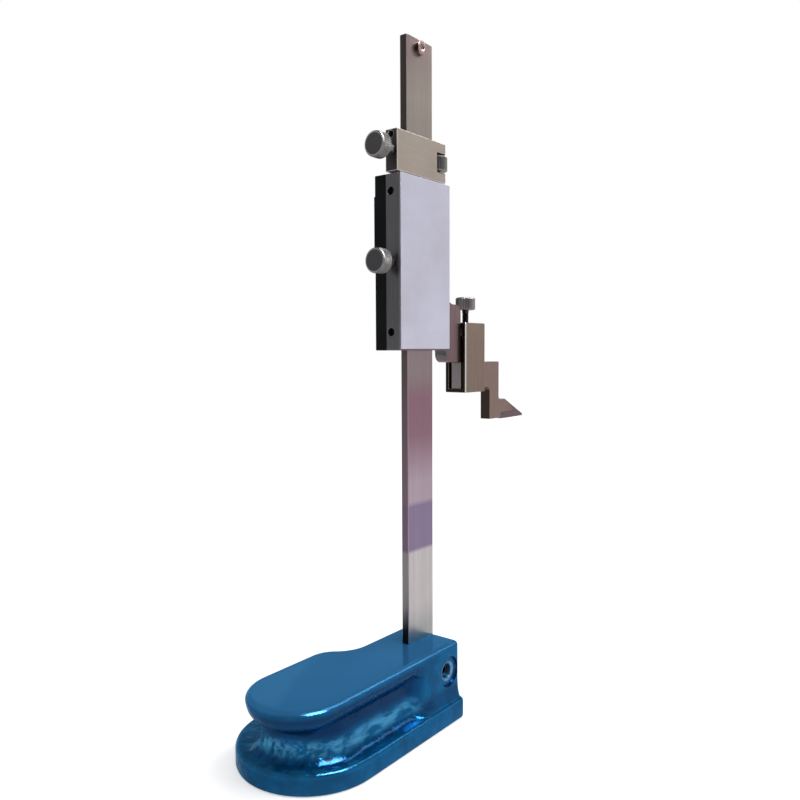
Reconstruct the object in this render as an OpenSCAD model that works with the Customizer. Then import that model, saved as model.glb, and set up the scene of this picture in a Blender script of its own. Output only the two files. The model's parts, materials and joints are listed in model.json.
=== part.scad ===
// Digital height gauge for a surface plate, 0 to 150 mm.
// Z = 0 is the ground underside of the base, X = Y = 0 is the axis of the beam.
// +X points along the scriber, +Y is the display side, -Y is the back of the slider.

/* [Beam] */
// Width of the beam across X
beam_w = 17; // [15:0.5:19]
// Thickness of the beam across Y
beam_t = 3.4; // [3:0.1:4]
// Height of the beam's top end above the ground
beam_top = 274.9; // [272:0.1:300]
// Depth of the groove that holds the scale
scale_depth = 1; // [0.8:0.05:1.2]
// Width of the scale
scale_w = 12.6; // [10:0.2:13]
// Head diameter of the stop screw
stop_head_d = 5.6; // [4.5:0.1:6]

/* [Base] */
// Height of the base
base_h = 31.6; // [30:0.2:34]
// Thickness of the sole
sole_t = 8; // [7:0.5:10]
// Overhang of the sole beyond the sides of the block
sole_lip = 2.8; // [2:0.2:4]
// Radius of the round end of the sole
sole_r = 28.3; // [27:0.1:31]
// Distance of the sole's round end behind the beam
sole_x = 52.6; // [48:0.2:56]
// Thickness of the hand plate above the grip groove
plate_t = 6.5; // [5:0.5:8]
// Depth of the grip groove
grip_depth = 5; // [4:0.5:6]
// Distance of the block's back side from the beam axis
side_back = 15.2; // [13:0.2:17]
// Distance of the block's display side from the beam axis
side_front = 13; // [12:0.2:15]
// Radius of the round end of the hand plate
toe_r = 19; // [18:0.5:21]
// Distance of the hand plate's round end behind the beam
toe_x = 65.3; // [62:0.5:70]
// Diameter of the screw that clamps the beam in the base
base_screw_d = 6; // [5:0.5:7]

/* [Slider] */
// Height of the scriber's measuring face above the ground
reading = 119.4; // [20:0.2:149]
// Width of the slider
slider_w = 33.3; // [32:0.1:36]
// Height of the slider
slider_h = 68.4; // [66:0.2:72]
// Thickness of the back cover
cover_t = 1; // [0.6:0.1:1.4]
// Distance of the frame's back face from the beam axis
frame_back = 3.84; // [3.6:0.02:4.2]
// Distance of the frame's display face from the beam axis
frame_front = 2.67; // [2.6:0.01:2.9]
// Thickness of the gib strip
gib_t = 1.5; // [1.2:0.1:1.8]
// Diameter of the gib screws
gib_screw_d = 3; // [2.5:0.1:3]
// Thickness of the jaw
jaw_t = 6; // [5.6:0.1:6.4]
// Depth of the jaw below the slider
jaw_drop = 5.2; // [4:0.2:6.4]

/* [Display] */
// Depth of the display housing
house_t = 5.46; // [5.4:0.02:5.8]
// Wall thickness of the display housing
house_wall = 1.4; // [1.2:0.1:1.6]
// Height of the raised frame around the display
bezel_t = 0.5; // [0.5:0.05:0.8]
// Width of the clear window
window_w = 24; // [20:0.5:24]
// Height of the clear window
window_h = 20; // [17:0.5:22]
// Diameter of the push buttons
button_d = 6; // [5:0.2:6.6]
// Spacing of the push buttons
button_pitch = 9; // [8:0.2:10]

/* [Screws] */
// Diameter of the thumb screw heads
thumb_d = 10; // [8:0.2:11]
// Length of the thumb screw heads
thumb_len = 5.3; // [4.5:0.1:6]
// Thread diameter of the thumb screws
thumb_thread_d = 3; // [2.8:0.1:3.2]
// Diameter of the fine adjustment nut
nut_d = 8.8; // [8:0.1:9]
// Height of the fine adjustment nut
nut_h = 7; // [6:0.1:7.4]
// Diameter of the fine adjustment stud
stud_d = 2.4; // [2:0.1:2.5]

/* [Carriage] */
// Height of the fine adjustment carriage
car_h = 16.1; // [15.6:0.1:17]
// Thickness of the carriage on either side of the beam
car_wall = 1.2; // [1:0.1:1.4]
// Gap between carriage and slider
car_gap = 0.9; // [0.8:0.1:1.4]

/* [Scriber] */
// Length of the scriber clamp along the jaw
clamp_len = 15.8; // [14:0.2:17]
// Wall thickness of the scriber clamp
clamp_wall = 1.75; // [1.5:0.05:2]
// Height of the scriber's shank
shank_h = 11.6; // [10:0.1:12]
// Thickness of the scriber
scriber_t = 5; // [4.4:0.1:5.6]
// Reach of the scriber's tip beyond its leg
nose_len = 24.3; // [20:0.1:28]
// Thickness of the carbide tip
tip_t = 3; // [2:0.1:3.5]

/* [Fits] */
// Radial clearance of turning and screwed pieces
run = 0.05; // [0.02:0.01:0.08]
// Clearance between sliding flat faces
slide = 0.1; // [0.06:0.01:0.14]

/* [Hidden] */
$fn = 64;

// Base
front_x = beam_w / 2 + 0.1;
toe_y = toe_r - side_back;
far_y = toe_y + toe_r;
shoulder_x = 40;
shoulder_r = 12;
shoulder_y = far_y - shoulder_r;
waist_r = 14;
waist_y = side_front + waist_r;
// Depth to which the hollow curves cut into the round ends that they join
bite = 0.03;
waist_x = sqrt(pow(shoulder_r + waist_r - bite, 2) - pow(waist_y - shoulder_y, 2)) - shoulder_x;
sole_back = side_back + sole_lip;
sole_front = side_front + sole_lip;
sole_y = sole_r - sole_back;
arch_r = 20;
arch_y = sole_front + arch_r;
arch_x = sqrt(pow(sole_r + arch_r - bite, 2) - pow(arch_y - sole_y, 2)) - sole_x;
plate_z = base_h - plate_t;
taper = grip_depth - 2;
cove_r = grip_depth + 1;
ledge_w = cove_r + 1;
groove_end = -16.5;
groove_out = 16;
beam_z0 = sole_t - 3;
base_screw_x = 1;
base_screw_down = 11;
base_screw_z = base_h - base_screw_down;

// Beam
bw = beam_w / 2;
bt = beam_t / 2;
stop_down = 3.4;
stop_z = beam_top - stop_down;
stop_thread_d = 3;
scale_z0 = base_h + 2;
scale_z1 = stop_z - 6;
film_t = 0.25;

// Slider
sw = slider_w / 2;
z0 = reading + base_h + 0.6;
z1 = z0 + slider_h;
gib_x = bw + slide;
wall_x = gib_x + gib_t + run;
lock_z = z0 + slider_h / 2;
gib_z = [z0 + 7.2, z1 - 6.6];
gib_screw_y = 0.3;
slot_w = 0.5;
jaw = jaw_t / 2;
jaw_z0 = z0 - jaw_drop;
jaw_up = 19.6;
jaw_z1 = z0 + jaw_up;
jaw_len = 11.15;
jaw_x1 = sw + jaw_len;
tongue_h = 10.6;
tongue_z1 = jaw_z0 + tongue_h;
tongue_x1 = jaw_x1 + clamp_len + 0.6;
jaw_round = 3.5;
jaw_fillet = 6;
opening = bw - 1.6;

// Thumb screws
neck_d = thumb_thread_d + 1.2;
neck_x = sw + 0.55;
head_gap = 4.9;
head_x = sw + head_gap;
shoe_gap = 0.3;
shoe_x = bw + shoe_gap;
shoe_d = thumb_thread_d - 0.2;

// Display
hy = frame_front + house_t;
front_t = 1.5;
inner_y = hy - front_t;
bezel_up = 47.9;
bezel_z = z0 + bezel_up;
bezel_h = window_h + 5;
bezel_y = hy + bezel_t;
window_t = 0.6;
button_up = 27.9;
button_z = z0 + button_up;
board_y = frame_front + 0.93;
cell_d = 20;
cell_t = 3.2;
cell_up = 11.9;
cell_z = z0 + cell_up;
contact_t = 0.25;
cell_y = board_y + contact_t;
lid_y = cell_y + cell_t + 0.1;
lid_x = -11;
lid_h = 20.2;
lid_z = cell_z - lid_h / 2;
rail_t = 0.4;
rail_w = 0.8;
fix_d = 1.6;
fix_x = sw - 2.2;
fix_up = 25.4;
fix_down = 14;
fix_z = [z0 + fix_up, z1 - fix_down];
fix_head_d = 2 * fix_d;
fix_head_t = 1.4;
boss_d = 1.8 * fix_d;
board_x = fix_x - 2.4;

// Carriage
cz0 = z1 + car_gap;
cz1 = cz0 + car_h;
car_x0 = -(sw - 0.45);
car_x1 = sw - 0.25;
car_y = bt + car_wall;
car_wall_x = bw + slide + gib_t - 0.25 + run;
clamp_up = 8.4;
clamp_z = cz0 + clamp_up;
car_gib_z = cz1 - 1.9;
car_screw_y = 0.4;
car_screw_d = gib_screw_d - 0.4;
stud_out = 5.7;
stud_x = bw + stud_out;
stud_in = 8;
stud_z = z1 - stud_in;
pocket_up = 4.1;
pocket_z0 = cz0 + pocket_up;
pocket_z1 = pocket_z0 + nut_h + 0.6;
nut_z = pocket_z0 + 0.3;

// Scriber
box_x0 = jaw_x1 + 0.2;
box_x1 = box_x0 + clamp_len;
box_in = jaw + 0.6;
box_out = box_in + clamp_wall;
box_in_z0 = jaw_z0 - shank_h - 2 * run;
box_z0 = box_in_z0 - 1.6;
box_up = 12;
box_z1 = z0 + box_up;
box_in_z1 = box_z1 - 2;
clamp_x = (box_x0 + box_x1) / 2;
pad_t = 0.95;
pad_z = tongue_z1 + run;
head_up = 17.8;
head_z = z0 + head_up;
head_h = 5.5;
shank_z1 = jaw_z0 - run;
shank_z0 = shank_z1 - shank_h;
sc = scriber_t / 2;
leg_gap = 8.8;
leg_w = 8.1;
leg_x0 = box_x1 + leg_gap;
leg_x1 = leg_x0 + leg_w;
leg_z0 = reading + 0.4;
nose_h = 9.2;
nose_top = reading + nose_h;
nose_x = leg_x1 + 5.6;
tip_x = leg_x1 + nose_len;
tip_y = -1.2;
tip_h = 0.9;
seat_x = leg_x1 + 2;
seat_z = reading + tip_t;
tip_run = (tip_t - tip_h) * (tip_x - nose_x) / (nose_top - reading - tip_h);

// Block between two opposite corners
module block(x0, x1, y0, y1, za, zb) {
  translate([x0, y0, za])
    cube([x1 - x0, y1 - y0, zb - za]);
}

// Rod along X
module rod_x(x0, x1, y, z, d) {
  translate([x0, y, z])
    rotate([0, 90, 0])
      cylinder(h = x1 - x0, d = d);
}

// Rod along Y
module rod_y(y0, y1, x, z, d) {
  translate([x, y0, z])
    rotate([-90, 0, 0])
      cylinder(h = y1 - y0, d = d);
}

// Rod along Z
module rod_z(za, zb, x, y, d) {
  translate([x, y, za])
    cylinder(h = zb - za, d = d);
}

// Plate standing in the XZ plane, drawn from its outline
module upright(y0, y1) {
  translate([0, y1, 0])
    rotate([90, 0, 0])
      linear_extrude(height = y1 - y0)
        children();
}

// Rectangle between two opposite corners
module area(x0, x1, y0, y1) {
  translate([x0, y0])
    square([x1 - x0, y1 - y0]);
}

// Outline of the hand plate seen from above
module plate_outline() {
  translate([-toe_x, toe_y])
    circle(r = toe_r, $fn = 128);
  area(-toe_x, front_x, -side_back, side_front);
  area(-toe_x, -shoulder_x, 0, far_y);
  difference() {
    union() {
      translate([-shoulder_x, shoulder_y])
        circle(r = shoulder_r);
      polygon([[-shoulder_x, 0], [-shoulder_x, shoulder_y], [waist_x, waist_y], [waist_x, 0]]);
    }
    translate([waist_x, waist_y])
      circle(r = waist_r, $fn = 128);
  }
}

// Outline of the sole seen from above
module sole_outline() {
  area(-sole_x, front_x, -sole_back, sole_front);
  difference() {
    union() {
      translate([-sole_x, sole_y])
        circle(r = sole_r, $fn = 128);
      polygon([[-sole_x, sole_y], [arch_x, arch_y], [arch_x, 0], [-sole_x, 0]]);
    }
    translate([arch_x, arch_y])
      circle(r = arch_r, $fn = 128);
  }
}

// Section of the grip groove, x = 0 on the edge of the hand plate, positive outwards
module groove_section(out) {
  polygon([[-grip_depth, sole_t + cove_r], [-grip_depth, plate_z], [-taper, plate_z], [0, base_h - 2],
    [out, base_h - 2], [out, sole_t], [cove_r - grip_depth, sole_t]]);
  translate([cove_r - grip_depth, sole_t + cove_r])
    circle(r = cove_r);
}

// Section of the ledge round the end of the sole, x = 0 on the edge of the sole
module ledge_section() {
  polygon([[-ledge_w, sole_t + cove_r], [-ledge_w, plate_z], [groove_out, plate_z], [groove_out, sole_t],
    [cove_r - ledge_w, sole_t]]);
  translate([cove_r - ledge_w, sole_t + cove_r])
    circle(r = cove_r);
}

// Straight run of the grip groove along X
module groove_run(x0, x1) {
  translate([x0, 0, 0])
    rotate([90, 0, 90])
      linear_extrude(height = x1 - x0)
        groove_section(groove_out);
}

module grip_groove() {
  translate([0, -side_back, 0])
    mirror([0, 1, 0])
      groove_run(-toe_x, groove_end);
  translate([-toe_x, toe_y, 0])
    rotate([0, 0, 90])
      rotate_extrude(angle = 180, $fn = 128)
        translate([toe_r, 0])
          groove_section(groove_out);
  translate([0, far_y, 0])
    groove_run(-toe_x, -shoulder_x);
  translate([-sole_x, sole_y, 0])
    rotate([0, 0, 90])
      rotate_extrude(angle = 180, $fn = 128)
        translate([sole_r, 0])
          ledge_section();
}

// Cove between the block's side and the sole
module side_cove(y) {
  difference() {
    block(groove_end, front_x, y, y + sole_lip, sole_t, sole_t + sole_lip);
    rod_x(groove_end - 1, front_x + 1, y + sole_lip, sole_t + sole_lip, 2 * sole_lip);
  }
}

module base_casting() {
  color("steelblue")
    difference() {
      union() {
        linear_extrude(height = sole_t)
          sole_outline();
        difference() {
          union() {
            linear_extrude(height = plate_z)
              intersection() {
                plate_outline();
                sole_outline();
              }
            translate([0, 0, plate_z])
              linear_extrude(height = plate_t)
                plate_outline();
          }
          grip_groove();
        }
        side_cove(side_front);
        mirror([0, 1, 0])
          side_cove(side_back);
      }
      block(-bw - run, front_x + 1, -bt - run, bt + run, beam_z0, base_h + 1);
      rod_y(-side_back - 1, 0, base_screw_x, base_screw_z, base_screw_d + 2 * run);
      rod_y(-side_back - 1, -side_back + 0.8, base_screw_x, base_screw_z, 2 * base_screw_d);
    }
}

module base_set_screw() {
  color("dimgray")
    difference() {
      rod_y(-side_back + 3, -bt - run, base_screw_x, base_screw_z, base_screw_d);
      translate([base_screw_x, -side_back + 2, base_screw_z])
        rotate([-90, 0, 0])
          cylinder(h = 4, d = base_screw_d * 0.58, $fn = 6);
    }
}

module beam() {
  color("silver")
    difference() {
      block(-bw, bw, -bt, bt, beam_z0, beam_top);
      block(-scale_w / 2 - run, scale_w / 2 + run, bt - scale_depth, bt + 1, scale_z0, scale_z1);
      rod_y(-bt - 1, bt + 1, 0, stop_z, stop_thread_d + 2 * run);
    }
}

module scale_board() {
  color("darkgreen")
    block(-scale_w / 2, scale_w / 2, bt - scale_depth, bt - film_t - 0.15, scale_z0 + run, scale_z1 - run);
}

module scale_film() {
  color("gainsboro")
    block(-scale_w / 2, scale_w / 2, bt - film_t - 0.15, bt - 0.15, scale_z0 + run, scale_z1 - run);
}

module beam_stop_screw() {
  color("gray")
    difference() {
      union() {
        rod_y(-bt - 1.5, -bt, 0, stop_z, stop_head_d);
        rod_y(-bt - 0.5, bt - 0.2, 0, stop_z, stop_thread_d);
      }
      translate([0, -bt - 2, stop_z])
        rotate([-90, 0, 0])
          cylinder(h = 1.4, d = stop_head_d * 0.45, $fn = 6);
    }
}

// Corner between two square edges, left over beside a rounding of radius r
module spandrel(x, z, r, dx, dz) {
  difference() {
    translate([x + (dx - 1) / 2 * r, z + (dz - 1) / 2 * r])
      square(r);
    translate([x + dx * r, z + dz * r])
      circle(r = r);
  }
}

// Outline of the jaw seen from the back of the slider
module jaw_outline() {
  difference() {
    area(sw, jaw_x1, jaw_z0, jaw_z1);
    spandrel(jaw_x1, jaw_z1, jaw_round, -1, -1);
    spandrel(sw, jaw_z0, jaw_round, 1, 1);
  }
  spandrel(sw, jaw_z1, jaw_fillet, 1, 1);
  area(jaw_x1 - 1, tongue_x1, jaw_z0, tongue_z1);
}

module slider_frame() {
  color("lightgray")
    difference() {
      union() {
        block(-sw, sw, -frame_back, frame_front, z0, z1);
        block(sw - 1, sw + 1, -jaw, frame_front, z0, jaw_z1);
        upright(-jaw, jaw)
          jaw_outline();
      }
      block(-wall_x, bw + slide, -bt - slide, bt + slide, z0 - 1, z1 + 1);
      block(-opening, opening, 0, frame_front + 1, z0 - 1, z1 + 1);
      for (z = gib_z)
        rod_x(-sw - 1, -bw, gib_screw_y, z, gib_screw_d + 2 * run);
      rod_x(-sw - 1, -bw, 0, lock_z, thumb_thread_d + 2 * run);
      for (x = [-fix_x, fix_x])
        for (z = fix_z) {
          rod_y(-frame_back - 1, frame_front + 1, x, z, fix_d + 2 * run);
          rod_y(-frame_back - 1, -frame_back + fix_head_t, x, z, fix_head_d + 2 * run);
        }
      rod_z(stud_z, z1 + 1, stud_x, 0, stud_d + 2 * run);
    }
}

module back_cover() {
  color("lavender")
    block(-sw, sw, -frame_back - cover_t, -frame_back, z0 + 0.6, z1);
}

module slider_gib() {
  color("goldenrod")
    difference() {
      block(-gib_x - gib_t, -gib_x, -bt + slide, bt - slide, z0 + 1.4, z1 - 1.5);
      rod_x(-wall_x - 1, -bw, 0, lock_z, shoe_d + 2 * run);
    }
}

module gib_set_screws() {
  color("dimgray")
    for (z = gib_z)
      difference() {
        rod_x(-sw + 2, -gib_x - gib_t - run, gib_screw_y, z, gib_screw_d);
        block(-sw + 1, -sw + 2.9, gib_screw_y - slot_w / 2, gib_screw_y + slot_w / 2, z - 3, z + 3);
      }
}

// Knurled screw along X with its head at the -X end
module thumb_screw(z, tip) {
  difference() {
    union() {
      rod_x(-head_x - thumb_len + 0.8, -head_x - 0.4, 0, z, thumb_d);
      rod_x(-head_x - thumb_len, -head_x, 0, z, thumb_d - 1.2);
      rod_x(-head_x - 1, -neck_x, 0, z, neck_d);
      rod_x(-neck_x - 1, -tip, 0, z, thumb_thread_d);
    }
    rod_x(-head_x - thumb_len - 1, -head_x - thumb_len + 0.3, 0, z, thumb_d - 3);
  }
}

module lock_thumb_screw() {
  color("silver")
    thumb_screw(lock_z, shoe_x + gib_t + run);
}

module lock_shoe() {
  color("goldenrod")
    rod_x(-shoe_x - gib_t, -shoe_x, 0, lock_z, shoe_d);
}

// Opening of the display housing for the battery lid
module lid_bay() {
  block(lid_x - slide, sw + 1, lid_y - slide, hy + 1, lid_z - slide, lid_z + lid_h + slide);
  block(lid_x - slide, sw + 1, lid_y - slide, lid_y + rail_t + slide,
    lid_z - rail_w - slide, lid_z + lid_h + rail_w + slide);
  rod_y(frame_front, hy, 0, cell_z, cell_d + 0.4);
}

module display_housing() {
  color("black")
    difference() {
      union() {
        difference() {
          block(-sw, sw, frame_front, hy, z0, z1);
          block(-sw + house_wall, sw - house_wall, frame_front - 1, inner_y, z0 + house_wall, z1 - house_wall);
        }
        block(-sw, sw, inner_y, bezel_y, bezel_z - bezel_h / 2, bezel_z + bezel_h / 2);
        for (x = [-fix_x, fix_x])
          for (z = fix_z)
            rod_y(frame_front, inner_y + 0.1, x, z, boss_d);
      }
      block(-window_w / 2 - run, window_w / 2 + run, bezel_y - window_t - 0.1, bezel_y + 1,
        bezel_z - window_h / 2 - run, bezel_z + window_h / 2 + run);
      block(-window_w / 2 + 1, window_w / 2 - 1, inner_y - 1, bezel_y,
        bezel_z - window_h / 2 + 1, bezel_z + window_h / 2 - 1);
      for (i = [-1, 0, 1])
        rod_y(inner_y - 1, hy + 1, i * button_pitch, button_z, button_d + 2 * slide);
      for (x = [-fix_x, fix_x])
        for (z = fix_z)
          rod_y(frame_front - 1, inner_y - 0.6, x, z, fix_d + 2 * run);
      lid_bay();
    }
}

module lcd_window() {
  color("lightcyan")
    block(-window_w / 2, window_w / 2, bezel_y - window_t - 0.1, bezel_y - 0.1,
      bezel_z - window_h / 2, bezel_z + window_h / 2);
}

module lcd_panel() {
  color("darkseagreen")
    block(-window_w / 2, window_w / 2, inner_y - 1.6, inner_y, bezel_z - window_h / 2, bezel_z + window_h / 2);
}

module reader_board() {
  color("green") {
    block(-board_x, board_x, frame_front, board_y, z0 + house_wall + 0.3, z1 - house_wall - 0.3);
    block(-opening + 0.3, opening - 0.3, bt + slide, frame_front, z0 + 24, z1 - 6);
  }
}

module button_cell() {
  color("silver")
    rod_y(cell_y, cell_y + cell_t, 0, cell_z, cell_d);
}

module battery_contacts() {
  color("gold") {
    block(-4, 4, board_y, cell_y, cell_z - 6, cell_z + 6);
    block(-cell_d / 2 - 0.3, -cell_d / 2 - 0.05, board_y, board_y + 2.8, cell_z - 1.2, cell_z + 1.2);
  }
}

module battery_cover() {
  color("dimgray")
    difference() {
      union() {
        block(lid_x, sw, lid_y, hy, lid_z, lid_z + lid_h);
        block(lid_x, sw, lid_y, lid_y + rail_t, lid_z - rail_w, lid_z + lid_h + rail_w);
      }
      for (i = [0:3])
        block(6 + 2 * i, 6.8 + 2 * i, hy - 0.3, hy + 1, lid_z + 5, lid_z + lid_h - 5);
    }
}

// Push button with a collar behind the front wall
module push_button(i) {
  rod_y(board_y + 0.7, hy + 0.7, i * button_pitch, button_z, button_d - 2);
  rod_y(inner_y - 1.3, hy + 0.7, i * button_pitch, button_z, button_d);
  rod_y(inner_y - 1.3, inner_y - 0.3, i * button_pitch, button_z, button_d + 1.2);
}

module power_button() {
  color("orangered")
    push_button(-1);
}

module zero_button() {
  color("goldenrod")
    push_button(0);
}

module unit_button() {
  color("slategray")
    push_button(1);
}

module display_screws() {
  color("gray")
    for (x = [-fix_x, fix_x])
      for (z = fix_z)
        difference() {
          union() {
            rod_y(-frame_back + 0.2, -frame_back + fix_head_t, x, z, fix_head_d);
            rod_y(-frame_back + 1, inner_y - 1, x, z, fix_d);
          }
          block(x - slot_w / 2, x + slot_w / 2, -frame_back, -frame_back + 0.8, z - 3, z + 3);
        }
}

module fine_adjust_stud() {
  color("silver")
    rod_z(stud_z, cz1 - 1.5, stud_x, 0, stud_d);
}

module fine_adjust_nut() {
  color("silver")
    difference() {
      union() {
        rod_z(nut_z, nut_z + nut_h, stud_x, 0, nut_d - 1);
        rod_z(nut_z + 0.5, nut_z + nut_h - 0.5, stud_x, 0, nut_d);
      }
      rod_z(nut_z - 1, nut_z + nut_h + 1, stud_x, 0, stud_d + 2 * run);
    }
}

module carriage_block() {
  color("lightgray")
    difference() {
      block(car_x0, car_x1, -car_y, car_y, cz0, cz1);
      block(-car_wall_x, bw + slide, -bt - slide, bt + slide, cz0 - 1, cz1 + 1);
      rod_x(car_x0 - 1, -bw, 0, clamp_z, thumb_thread_d + 2 * run);
      rod_x(car_x0 - 1, -bw, car_screw_y, car_gib_z, car_screw_d + 2 * run);
      rod_z(cz0 - 1, cz1 + 1, stud_x, 0, stud_d + 0.6);
      rod_z(pocket_z0, pocket_z1, stud_x, 0, nut_d + 0.7);
      block(stud_x, car_x1 + 1, -car_y - 1, car_y + 1, pocket_z0, pocket_z1);
    }
}

module carriage_gib() {
  color("goldenrod")
    difference() {
      block(-car_wall_x + run, -gib_x, -bt + slide, bt - slide, cz0 + 0.4, cz1 - 0.4);
      rod_x(-car_wall_x - 1, -bw, 0, clamp_z, shoe_d + 2 * run);
    }
}

module carriage_gib_screw() {
  color("dimgray")
    difference() {
      rod_x(car_x0 + 2, -car_wall_x, car_screw_y, car_gib_z, car_screw_d);
      block(car_x0 + 1, car_x0 + 2.8, car_screw_y - slot_w / 2, car_screw_y + slot_w / 2,
        car_gib_z - 3, car_gib_z + 3);
    }
}

module clamp_thumb_screw() {
  color("silver")
    thumb_screw(clamp_z, shoe_x + gib_t + run);
}

module clamp_shoe() {
  color("goldenrod")
    rod_x(-shoe_x - gib_t, -shoe_x, 0, clamp_z, shoe_d);
}

module scriber_clamp() {
  color("tan")
    difference() {
      block(box_x0, box_x1, -box_out, box_out, box_z0, box_z1);
      block(box_x0 - 1, box_x1 + 1, -box_in, box_in, box_in_z0, box_in_z1);
      rod_z(box_in_z1 - 1, box_z1 + 1, clamp_x, 0, thumb_thread_d + 2 * run);
    }
}

module scriber_clamp_screw() {
  color("gray") {
    rod_z(pad_z + pad_t + run, head_z + 1, clamp_x, 0, thumb_thread_d);
    rod_z(head_z, head_z + head_h, clamp_x, 0, nut_d - 1);
    rod_z(head_z + 0.4, head_z + head_h - 0.4, clamp_x, 0, nut_d);
  }
}

module clamp_pad() {
  color("goldenrod")
    rod_z(pad_z, pad_z + pad_t, clamp_x, 0, thumb_thread_d + 1.4);
}

// Outline of the scriber seen from the back of the slider
module scriber_outline() {
  area(box_x0 + 0.6, leg_x1, shank_z0, shank_z1);
  area(leg_x0, leg_x1, leg_z0, shank_z1);
  polygon([[leg_x1 - 1, leg_z0], [tip_x, leg_z0], [tip_x, reading + tip_h], [nose_x, nose_top],
    [leg_x1 - 1, nose_top]]);
  spandrel(leg_x0, shank_z0, 2, -1, -1);
  spandrel(leg_x1, nose_top, 1.5, 1, 1);
}

// Room cut away on both sides of the nose to bring it to an edge
module nose_bevels() {
  translate([0, 0, reading - 1])
    linear_extrude(height = nose_top - reading + 2) {
      polygon([[nose_x + 1, -sc], [tip_x, tip_y - 0.3], [tip_x, -sc - 1], [nose_x + 1, -sc - 1]]);
      polygon([[nose_x - 2, sc], [tip_x, tip_y + 0.3], [tip_x, sc + 1], [nose_x - 2, sc + 1]]);
    }
}

module scriber() {
  color("rosybrown")
    difference() {
      upright(-sc, sc)
        scriber_outline();
      block(seat_x, tip_x + 1, -sc - 1, sc + 1, reading - 1, seat_z);
      nose_bevels();
    }
}

module carbide_tip() {
  color("dimgray")
    difference() {
      upright(-sc, sc)
        polygon([[seat_x, reading], [tip_x, reading], [tip_x, reading + tip_h], [tip_x - tip_run, seat_z],
          [seat_x, seat_z]]);
      nose_bevels();
    }
}

base_casting();
base_set_screw();
beam();
scale_board();
scale_film();
beam_stop_screw();
slider_frame();
back_cover();
slider_gib();
gib_set_screws();
lock_thumb_screw();
lock_shoe();
display_housing();
lcd_window();
lcd_panel();
reader_board();
button_cell();
battery_contacts();
battery_cover();
power_button();
zero_button();
unit_button();
display_screws();
fine_adjust_stud();
fine_adjust_nut();
carriage_block();
carriage_gib();
carriage_gib_screw();
clamp_thumb_screw();
clamp_shoe();
scriber_clamp();
scriber_clamp_screw();
clamp_pad();
scriber();
carbide_tip();
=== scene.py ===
import json
import math

import bmesh
import bpy
from mathutils import Matrix, Vector

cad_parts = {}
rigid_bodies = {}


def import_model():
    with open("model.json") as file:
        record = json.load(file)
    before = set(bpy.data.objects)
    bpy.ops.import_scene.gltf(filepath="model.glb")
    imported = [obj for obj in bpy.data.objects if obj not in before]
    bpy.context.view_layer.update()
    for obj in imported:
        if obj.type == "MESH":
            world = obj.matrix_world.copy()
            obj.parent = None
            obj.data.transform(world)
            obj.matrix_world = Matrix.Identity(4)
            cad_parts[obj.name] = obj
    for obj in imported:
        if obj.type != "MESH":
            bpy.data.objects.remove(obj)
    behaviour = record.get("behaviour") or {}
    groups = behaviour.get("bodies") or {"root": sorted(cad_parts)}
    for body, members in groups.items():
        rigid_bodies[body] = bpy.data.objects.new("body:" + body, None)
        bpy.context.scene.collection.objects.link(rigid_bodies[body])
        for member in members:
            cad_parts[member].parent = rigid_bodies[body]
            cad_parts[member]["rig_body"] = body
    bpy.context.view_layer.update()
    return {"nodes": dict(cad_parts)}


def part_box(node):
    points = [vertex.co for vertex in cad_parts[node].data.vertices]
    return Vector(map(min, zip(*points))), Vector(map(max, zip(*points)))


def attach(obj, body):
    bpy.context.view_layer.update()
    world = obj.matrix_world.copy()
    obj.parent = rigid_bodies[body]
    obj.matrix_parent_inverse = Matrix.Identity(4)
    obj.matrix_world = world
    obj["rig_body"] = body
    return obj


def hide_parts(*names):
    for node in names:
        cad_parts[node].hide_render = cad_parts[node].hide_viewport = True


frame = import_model()
NODES = frame["nodes"]

# Sizes and places are in mm and angles in degrees, unless a comment says otherwise
MM = 0.001


# Mesh helpers

WELD = 0.002
BEVEL_ANGLE, BEVEL_STEPS, BEVEL_PROFILE = 32, 2, 0.5
SHARP, SCREW_SHARP, KEY_SHARP = 35, 28, 40
FLAT_WEIGHT = 100
ROUND_STEPS, RIDGE_STEPS, DIAMOND_STEPS = 64, 5, 6


def body_of(node):
    """Name of the body that carries a CAD node."""
    return NODES[node]["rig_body"]


def mesh_from(name, bm):
    """Mesh with the shape of a bmesh, which is used up."""
    mesh = bpy.data.meshes.new(name)
    bm.to_mesh(mesh)
    bm.free()
    return mesh


def add_object(name, data):
    """New object in the scene."""
    made = bpy.data.objects.new(name, data)
    bpy.context.scene.collection.objects.link(made)
    return made


def evaluated_mesh(made):
    """Mesh of an object with its modifiers or lettering worked out."""
    graph = bpy.context.evaluated_depsgraph_get()
    return bpy.data.meshes.new_from_object(made.evaluated_get(graph))


def shade_smooth(mesh, sharp):
    """Smooth shading, apart from edges that bend by more than an angle."""
    for polygon in mesh.polygons:
        polygon.use_smooth = True
    mesh.set_sharp_from_angle(angle=math.radians(sharp))


def add_piece(name, bm, body, materials, replaced=(), sharp=SHARP, flat=False, closed=True):
    """Object on a body, made from a bmesh. When flat, large faces stay flat beside round edges."""
    if closed:
        bmesh.ops.recalc_face_normals(bm, faces=bm.faces)
    mesh = mesh_from(name, bm)
    shade_smooth(mesh, sharp)
    for material in materials:
        mesh.materials.append(material)
    piece = add_object(name, mesh)
    if flat:
        facets = piece.modifiers.new("facets", "WEIGHTED_NORMAL")
        facets.keep_sharp = True
        facets.weight = FLAT_WEIGHT
    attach(piece, body)
    if replaced:
        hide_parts(*replaced)
    return piece


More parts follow.
